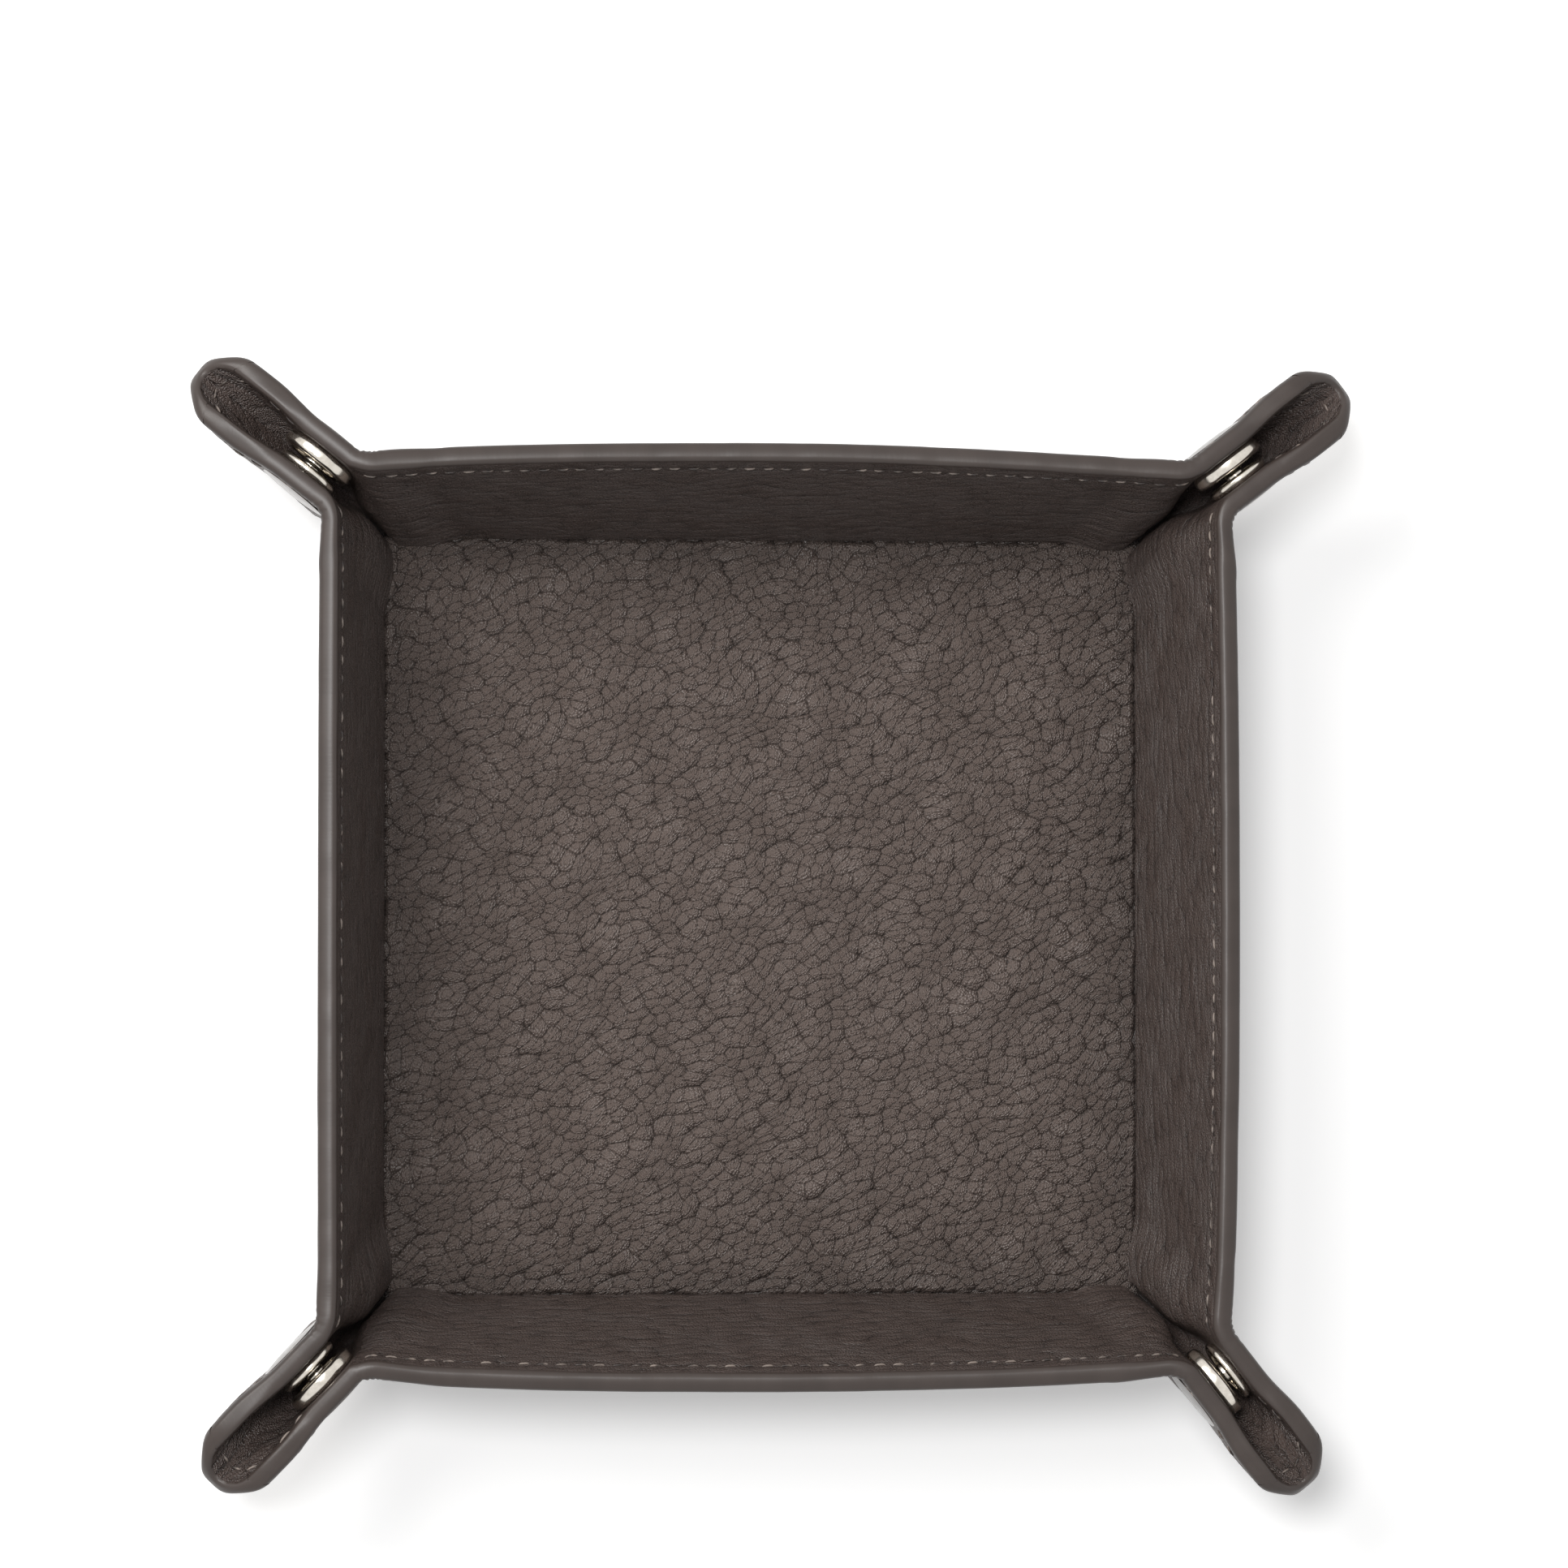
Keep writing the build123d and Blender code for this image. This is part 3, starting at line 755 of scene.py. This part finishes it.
def ear(wall, turn, end, side):
    """Half of an ear's round bottom, from the flap to the ear's middle, with its cut edge."""
    shape = ear_shape(wall, end)

    def place(row, share):
        part, inset, height = SECTION[row].T
        past = share * UNROLLED
        away = UNROLLED - past
        top = (ARC_CENTRE - HALF_BASE) * ROOT2 + np.sqrt(CORNER_RADIUS ** 2 - away ** 2)
        along = np.where(part < 1, EAR_FOOT + part * (top - EDGE_ROUND - EAR_FOOT), top - inset)
        face = np.sign(height) * (inset >= EDGE_ROUND)
        below = top - along
        bx, by = on_blank(*beside_diagonal(along, away), side, turn)
        shift = np.where(face > 0, 0.0, OUTER_SHIFT)
        grain = pebbles(bx + shift, by, *EAR_GRAIN)
        wrinkle = tip_wrinkles(past, below, bx, by)
        depth = np.where(face > 0, WRINKLE_DEPTH, WRINKLE_DEPTH_OUTSIDE) * smooth(0, 2.5, past)
        lift = GRAIN_DEPTH * (grain - 1) * smooth(0, 1, below - EDGE_ROUND) - depth * wrinkle
        lift += LUMP_DEPTH * wave(bx + 5, by + shift, LUMP_SIZE)
        along = along + np.where(face == 0, edge_waver(bx, by), 0)
        x, y = beside_diagonal(along, away)
        # The grain's own tone, with painted shade in the wrinkles' valleys on the inner face and down
        # towards the foot of the ear's channel
        shade = (0.92 + 0.08 * grain) * (1 - 0.7 * wrinkle * (face > 0)) * smooth(-6, 10, along)
        return (ear_fold(x, y, height + face * lift, side, turn, shape),
                pattern_spot(x, y, shift, side, turn), tone_and_painted_light(face, shade, inset, height))

    inward = direction(0.0, 0.0, 1.0, side, turn)
    crease = Vector(placed(*raised(0.0, 0.0, HALF_SHEET - EAR_CUT), side, turn))
    clip = ((crease, inward), (Vector((0, 0, EAR_CUT * MM)), Vector((0, 0, -1))))
    piece = wrapped(f"{wall}_wall_{end}_ear_leather", len(SECTION), EAR_COLUMNS, place, leather,
                    PAINT_ROWS, clip)
    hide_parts(f"{wall}_wall_{end}_ear_fold")
    bend_blend(piece)


def bend_blend(piece):
    """Bake a piece's placement into its mesh."""
    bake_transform(piece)


# Stitches
# Half a stitch's length, its radius, how steeply it lies across the seam, how deep it is sunk, and
# how its middle rises and its ends dip
STITCH_HALF = 0.9
STITCH_RADIUS = 0.18
STITCH_TILT = 0.10
STITCH_SUNK = 0.06
STITCH_RISE = 0.10
STITCH_DIP = 0.16
STITCH_SIDES = 6
# Along a stitch from its middle, in shares of its half length, and its girth there
STITCH_RINGS = ((-1.0, 0.25), (-0.82, 0.75), (-0.4, 1.0), (0.4, 1.0), (0.82, 0.75), (1.0, 0.25))
# Stitches stop this far from a snap's cap
STITCH_CLEARANCE = 1.1


def stitch_row(name, spots, side, fold, *settings):
    """Short rounded stitches, each a small bent capsule laid along the seam and folded with it."""
    work = bmesh.new()
    steps = len(STITCH_RINGS) - 1
    for x, y, along_x, along_y, face in spots:
        made = bmesh.ops.create_grid(work, x_segments=STITCH_SIDES, y_segments=steps, size=1)
        for vert in made["verts"]:
            angle = (vert.co.x + 1) * math.pi
            place, girth = STITCH_RINGS[round((vert.co.y + 1) / 2 * steps)]
            reach = place * STITCH_HALF
            across = math.cos(angle) * STITCH_RADIUS * girth + STITCH_TILT * reach * side
            lift = math.sin(angle) * STITCH_RADIUS * girth + STITCH_RISE - STITCH_DIP * place * place
            vert.co = fold(x + along_x * reach - along_y * across,
                           y + along_y * reach + along_x * across,
                           face * (HALF_SHEET - STITCH_SUNK + lift), *settings)
    for face in work.faces:
        face.smooth = True
    bmesh.ops.remove_doubles(work, verts=work.verts, dist=SAME_SPOT)
    bmesh.ops.holes_fill(work, edges=[edge for edge in work.edges if edge.is_boundary], sides=0)
    return finished(name, work, [thread])


def panel_stitches(wall, turn, end, side, bow, fade):
    """The seam of half a wall and its flap, on both faces, left out round the snap."""
    spots = []
    x, y = STITCH_PITCH / 2, WALL_HEIGHT - SEAM_INSET
    while x + STITCH_HALF <= panel_end(y):
        if math.hypot(x - SNAP[0], y - SNAP[1]) > CAP_DIAMETER / 2 + STITCH_CLEARANCE:
            spots += [(x, y, 1.0, 0.0, face) for face in (1, -1)]
        x += STITCH_PITCH
        y = cut_edge(x) - SEAM_INSET
    piece = stitch_row(f"{wall}_wall_{end}_stitches", spots, side, panel_fold,
                       side, turn, bow, fade, ear_shape(wall, end))
    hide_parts(f"{wall}_wall_thread")
    flap_blend(piece)


def ear_stitches(wall, turn, end, side):
    """The seam round the ear's tip."""
    radius = CORNER_RADIUS - SEAM_INSET
    spots = []
    for count in (0.5, 1.5):
        angle = math.pi / 4 + count * STITCH_PITCH / radius
        x = ARC_CENTRE + radius * math.cos(angle)
        y = WALL_HEIGHT - CORNER_RADIUS + radius * math.sin(angle)
        spots += [(x, y, math.sin(angle), -math.cos(angle), face) for face in (1, -1)]
    piece = stitch_row(f"{wall}_wall_{end}_ear_stitches", spots, side, ear_fold,
                       side, turn, ear_shape(wall, end))
    bend_blend(piece)


# The boards in the walls, and how far they keep from the creases and the seam
BOARD_CREASE_MARGIN = 4.1
BOARD_SEAM_MARGIN = 2.1


def board(wall, turn, bow):
    """A wall's stiffening board, bowed with its wall."""
    work = bmesh.new()
    bmesh.ops.create_grid(work, x_segments=24, y_segments=4, size=1)
    bmesh.ops.solidify(work, geom=work.faces[:], thickness=1.0)
    low, high = BOARD_CREASE_MARGIN, WALL_HEIGHT - SEAM_INSET - BOARD_SEAM_MARGIN
    inset = (HALF_SHEET + BOARD_CREASE_MARGIN) / math.cos(CREASE_LEAN)
    for vert in work.verts:
        y = low + (high - low) * (vert.co.y + 1) / 2
        x = vert.co.x * (CREASE_X + CREASE_SLOPE * y - inset)
        z = HALF_BOARD if vert.co.z > -0.5 else -HALF_BOARD
        vert.co = placed(*raised(x, y, bowed(x, y, z, bow, 1.0)), 1, turn)
    piece = finished(f"{wall}_wall_bowed_board", work, [fibreboard])
    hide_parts(f"{wall}_wall_board")
    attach(piece, f"{wall}_wall")


# Snaps, with their radii and their heights over the leather
SPIN_STEPS = 64
ON_AXIS = 1e-5
ROUNDED_STEPS = 4
CROWN_STEPS = 8
CAP_RADIUS = CAP_DIAMETER / 2
CAP_HEIGHT = 0.4
CAP_EDGE = 0.02
CAP_ROLL = 0.6
RIVET_RADIUS = 1.5
RIVET_REACH = 0.36
FLANGE_RISE = 0.5
SOCKET_RADIUS = SOCKET_DIAMETER / 2
SOCKET_HEIGHT = 2.4
STUD_RADIUS = 5.1
STUD_POST = 1.6
STUD_HEIGHT = 3.8


def spun(name, outline, metal, wall, turn, end, side):
    """A turned fitting from its half outline (radius, height), set on its flap."""
    work = bmesh.new()
    verts = [work.verts.new((radius, 0, height)) for radius, height in outline]
    edges = [work.edges.new(pair) for pair in zip(verts, verts[1:])]
    bmesh.ops.spin(work, geom=verts + edges, cent=(0, 0, 0), axis=(0, 0, 1), angle=2 * math.pi,
                   steps=SPIN_STEPS, use_merge=True)
    bmesh.ops.remove_doubles(work, verts=work.verts, dist=ON_AXIS)
    for face in work.faces:
        face.smooth = True
    centre, *tips = (flap_spot(SNAP[0] + x, SNAP[1] + y, z, wall, turn, end, side)
                     for x, y, z in ((0, 0, 0), (1, 0, 0), (0, 1, 0), (0, 0, 1)))
    matrix = np.eye(4)
    matrix[:3] = np.column_stack([tip - centre for tip in tips] + [centre])
    bmesh.ops.transform(work, matrix=Matrix(matrix.tolist()), verts=work.verts)
    return finished(name, work, [metal])


def rounded(points, radius):
    """An outline with its inner points rounded, each by less than half of its shorter side."""
    out = [points[0]]
    for before, here, after in zip(points, points[1:], points[2:]):
        b, h, a = (Vector(point) for point in (before, here, after))
        reach = min(radius, (b - h).length * 0.45, (a - h).length * 0.45)
        start, stop = h + (b - h).normalized() * reach, h + (a - h).normalized() * reach
        for t in np.linspace(0, 1, ROUNDED_STEPS + 1).tolist():
            out.append(tuple((1 - t) ** 2 * start + 2 * t * (1 - t) * h + t * t * stop))
    return out + [points[-1]]


def cap_outline():
    """The low cap on the outer leather, and its rivet through the flap."""
    outer, inner = -HALF_SHEET, HALF_SHEET
    crown = [(CAP_RADIUS * share, outer - CAP_HEIGHT + (CAP_HEIGHT - CAP_EDGE) * share ** 2.4)
             for share in np.linspace(0, 1, CROWN_STEPS + 1).tolist()]
    # The crown's last point comes twice, which keeps its rim sharp
    return rounded(crown + [
        (CAP_RADIUS, outer - CAP_EDGE), (CAP_RADIUS - CAP_ROLL, outer + CAP_EDGE),
        (RIVET_RADIUS, outer + CAP_EDGE), (RIVET_RADIUS, inner + 0.35), (0.0, inner + 0.35)], 0.22)


def socket_outline():
    """The socket on the lining: a cup with a rolled mouth, clenched by the rivet."""
    z = HALF_SHEET
    return rounded([
        (0.0, z + RIVET_REACH), (RIVET_RADIUS, z + RIVET_REACH), (RIVET_RADIUS, z),
        (SOCKET_RADIUS - 0.6, z), (SOCKET_RADIUS, z + FLANGE_RISE), (SOCKET_RADIUS, z + 1.9),
        (SOCKET_RADIUS - 0.7, z + SOCKET_HEIGHT), (4.4, z + 2.3), (4.1, z + 1.3), (2.6, z + 1.2),
        (2.5, z + FLANGE_RISE), (0.0, z + FLANGE_RISE)], 0.9)


def stud_outline():
    """The stud on the lining: a flange and a post with a waist, clenched by the rivet."""
    z = HALF_SHEET
    return rounded([
        (0.0, z + RIVET_REACH), (RIVET_RADIUS, z + RIVET_REACH), (RIVET_RADIUS, z),
        (STUD_RADIUS - 0.5, z), (STUD_RADIUS, z + FLANGE_RISE), (STUD_RADIUS, z + 1.2),
        (4.4, z + 1.6), (3.5, z + 1.4), (3.0, z + 0.8), (STUD_POST, z + 0.8),
        (STUD_POST - 0.05, z + 1.9), (STUD_POST + 0.2, z + 2.3), (STUD_POST + 0.15, z + 3.2),
        (STUD_POST - 0.4, z + STUD_HEIGHT - 0.05), (0.0, z + STUD_HEIGHT)], 0.5)


FITTINGS = {
    "cap": (cap_outline(), black_nickel),
    "socket": (socket_outline(), nickel),
    "stud": (stud_outline(), nickel),
}


def snap(wall, turn, end, side, kind):
    """One half of a snap: the cap on the flap's outside and the socket or stud on its inside."""
    for part in ("cap", kind):
        piece = spun(f"{wall}_wall_{end}_{part}", *FITTINGS[part], wall, turn, end, side)
        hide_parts(f"{wall}_wall_{end}_flap_snap_{part}")
        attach(piece, f"{wall}_wall_{end}_flap")


# The base
BASE_CORNER = 1.2
# Steps across each leather's upper face, and across either one's lower face
UPPER_STEPS = 306
UNDER_STEPS = 60
LOWER_FACE_STEPS = 12
# The upper leather: how far it is puffed and over what distance, the pressed line round it with
# its place and half width, the groove at the crease, and the pebbles' height
PUFF, PUFF_REACH = 0.35, 6.0
LINE_DEPTH, LINE_INSET, LINE_HALF_WIDTH = 0.14, 2.2, 0.5
GROOVE_DEPTH = 0.95
PEBBLE_DEPTH = 0.04
# The groove is shallower from 7 to 2 mm before the base's corners
CORNER_RUN = (BASE_WIDTH / 2 - 7.0, BASE_WIDTH / 2 - 2.0)
# How much darker the leather is painted at the crease, a painted shade from the walls, and the
# distance that this fades over
CREASE_SHADE, SHADE_REACH = 0.40, 12.0


def rounded_square(x, y):
    """Points of the base's square, with those beyond its rounded corners drawn back to them."""
    straight = HALF_BASE - BASE_CORNER
    over_x, over_y = (np.clip(np.abs(value) - straight, 0, None) for value in (x, y))
    pull = BASE_CORNER / np.maximum(np.hypot(over_x, over_y), BASE_CORNER)
    return (np.where(over_x > 0, np.sign(x) * (straight + over_x * pull), x),
            np.where(over_y > 0, np.sign(y) * (straight + over_y * pull), y))


def pressed_line(inside):
    """The line pressed round the base, just inside its crease."""
    return -LINE_DEPTH * np.exp(-((inside - LINE_INSET) / LINE_HALF_WIDTH) ** 2)


def base_relief(x, y, inside):
    """The upper leather's height over a flat sheet: puffed and pebbled, rippled beside its crease
    and pulled down into it."""
    ease = 0.1 + 0.9 * smooth(0.6, 4.0, inside)
    pebble = PEBBLE_DEPTH * (pebbles(x, y, *BASE_GRAIN) - 1) * ease * smooth(-0.2, 1.0, inside)
    puff = PUFF * (1 - np.exp(-np.clip(inside, 0, None) / PUFF_REACH)) - 0.05
    ripple = 0.14 * wave(x + 7, y, 6) * smooth(7, 1, inside) * smooth(0, 1.5, inside)
    broad = 0.10 * wave(x, y + 20, 23) * smooth(0, 12, inside)
    at_corner = smooth(*CORNER_RUN, np.minimum(np.abs(x), np.abs(y)))
    groove = -GROOVE_DEPTH * smooth(0.9, -0.2, inside) * (1 - 0.8 * at_corner)
    return pebble + puff + pressed_line(inside) + ripple + broad + groove


def base_leather(name, node, upper):
    """One leather of the base, a flat sheet. The upper one has its relief."""
    steps = UPPER_STEPS if upper else UNDER_STEPS
    rows = steps + LOWER_FACE_STEPS

    def place(row, share):
        top = row <= steps
        across = np.where(top, row / steps, (rows - row) / LOWER_FACE_STEPS)
        x, y = rounded_square(HALF_BASE * (2 * across - 1), HALF_BASE * (2 * share - 1))
        inside = BASE_WIDTH / 2 - np.maximum(np.abs(x), np.abs(y)) + 0.22 * wave(x, y, 5)
        if upper:
            z = np.where(top, 2 * HALF_SHEET + base_relief(x, y, inside), HALF_SHEET)
        else:
            z = np.where(top, HALF_SHEET, 0.0)
        # Painted shade: darker into the crease's groove and along the pressed line, and darker towards
        # the walls
        value = (0.35 + 0.65 * smooth(-0.2, 0.8, inside)) * (1 + 0.8 * pressed_line(inside))
        value = value * (1 - CREASE_SHADE * np.exp(-np.clip(inside, 0, None) / SHADE_REACH))
        return np.stack((x, y, z), axis=-1) * MM, np.stack((x, y, np.zeros_like(x)), axis=-1), value

    piece = wrapped(name, rows, steps, place, pebbled)
    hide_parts(node)
    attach(piece, "base")


base_leather("base_upper_leather", "base_lining", True)
base_leather("base_under_leather", "base_outer_leather", False)
for wall, (turn, kind, bow, ends) in WALLS.items():
    board(wall, turn, bow)
    for end, side, fade in ends:
        panel(wall, turn, end, side, bow, fade)
        ear(wall, turn, end, side)
        panel_stitches(wall, turn, end, side, bow, fade)
        ear_stitches(wall, turn, end, side)
        snap(wall, turn, end, side, kind)

base_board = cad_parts["base_board"].data
base_board.materials.clear()
base_board.materials.append(fibreboard)


# The studio, its places in metres
FLOOR_HALF = 1.5
FLOOR_DROP = 0.05 * MM
FLOOR_GLOW = 0.38
SKY_LEVEL = 0.20
# The camera's place, its turn from looking straight down in degrees, and its lens in millimetres
CAMERA_PLACE = (-0.09425, -0.00996, 1.1)
CAMERA_TURN = (1.6134, -5.0933, 0.0109)
CAMERA_LENS = 159.22


def seen_directly(tree):
    """1 for the rays that show a background: the camera's, and those off metal or through glass."""
    path = add(tree, "ShaderNodeLightPath")
    seen = add(tree, "ShaderNodeMath", [(0, path, "Is Camera Ray"), (1, path, "Is Glossy Ray")],
               operation="MAXIMUM")
    return add(tree, "ShaderNodeMath", [(0, seen, "Value"), (1, path, "Is Transmission Ray")],
               operation="MAXIMUM")


def floor_material():
    """Seamless white paper, lifted to white for the camera while it keeps the tray's shadow."""
    material, tree, shader = new_material("white_paper_floor")
    shader.inputs["Base Color"].default_value = linear("#f5f5f5")
    shader.inputs["Roughness"].default_value = 0.9
    shader.inputs["Specular IOR Level"].default_value = 0.1
    glow = add(tree, "ShaderNodeMath", [(0, seen_directly(tree), "Value")], [(1, FLOOR_GLOW)],
               operation="MULTIPLY")
    tree.links.new(glow.outputs["Value"], shader.inputs["Emission Strength"])
    shader.inputs["Emission Color"].default_value = linear("#ffffff")
    return material


def lamp(name, place, size, power, colour):
    """A round softbox of that width in metres and power in watts, turned to the tray."""
    data = bpy.data.lights.new(name, "AREA")
    data.shape = "DISK"
    data.size = size
    data.energy = power
    data.color = linear(colour)[:3]
    light = bpy.data.objects.new(name, data)
    bpy.context.scene.collection.objects.link(light)
    light.location = place
    light.rotation_euler = (-Vector(place)).to_track_quat("-Z", "Y").to_euler()


floor_mesh = bmesh.new()
bmesh.ops.create_grid(floor_mesh, x_segments=4, y_segments=4, size=FLOOR_HALF)
floor = finished("paper_floor", floor_mesh, [floor_material()])
floor.data.transform(Matrix.Translation((0, 0, -FLOOR_DROP)))

world = bpy.data.worlds.new("studio")
world.use_nodes = True
sky_tree = world.node_tree
sky = sky_tree.nodes["Background"]
sky.inputs["Color"].default_value = linear("#ffffff")
sky_level = add(sky_tree, "ShaderNodeMapRange", [("Value", seen_directly(sky_tree), "Value")],
                To_Min=SKY_LEVEL, To_Max=1.0)
sky_tree.links.new(sky_level.outputs["Result"], sky.inputs["Strength"])
bpy.context.scene.world = world

lamp("top_softbox", (-0.28, 0.20, 1.40), 0.36, 9.2, "#ffffff")
lamp("side_softbox", (-0.86, 0.68, 1.16), 0.8, 13.0, "#fffdfa")

camera_data = bpy.data.cameras.new("camera")
camera_data.sensor_width = 36.0
camera_data.lens = CAMERA_LENS
camera_data.clip_end = 10
camera = bpy.data.objects.new("camera", camera_data)
bpy.context.scene.collection.objects.link(camera)
camera.matrix_world = (Matrix.Translation(CAMERA_PLACE)
                       @ Euler([math.radians(angle) for angle in CAMERA_TURN]).to_matrix().to_4x4())
bpy.context.scene.camera = camera
bpy.context.scene.view_settings.view_transform = "Standard"
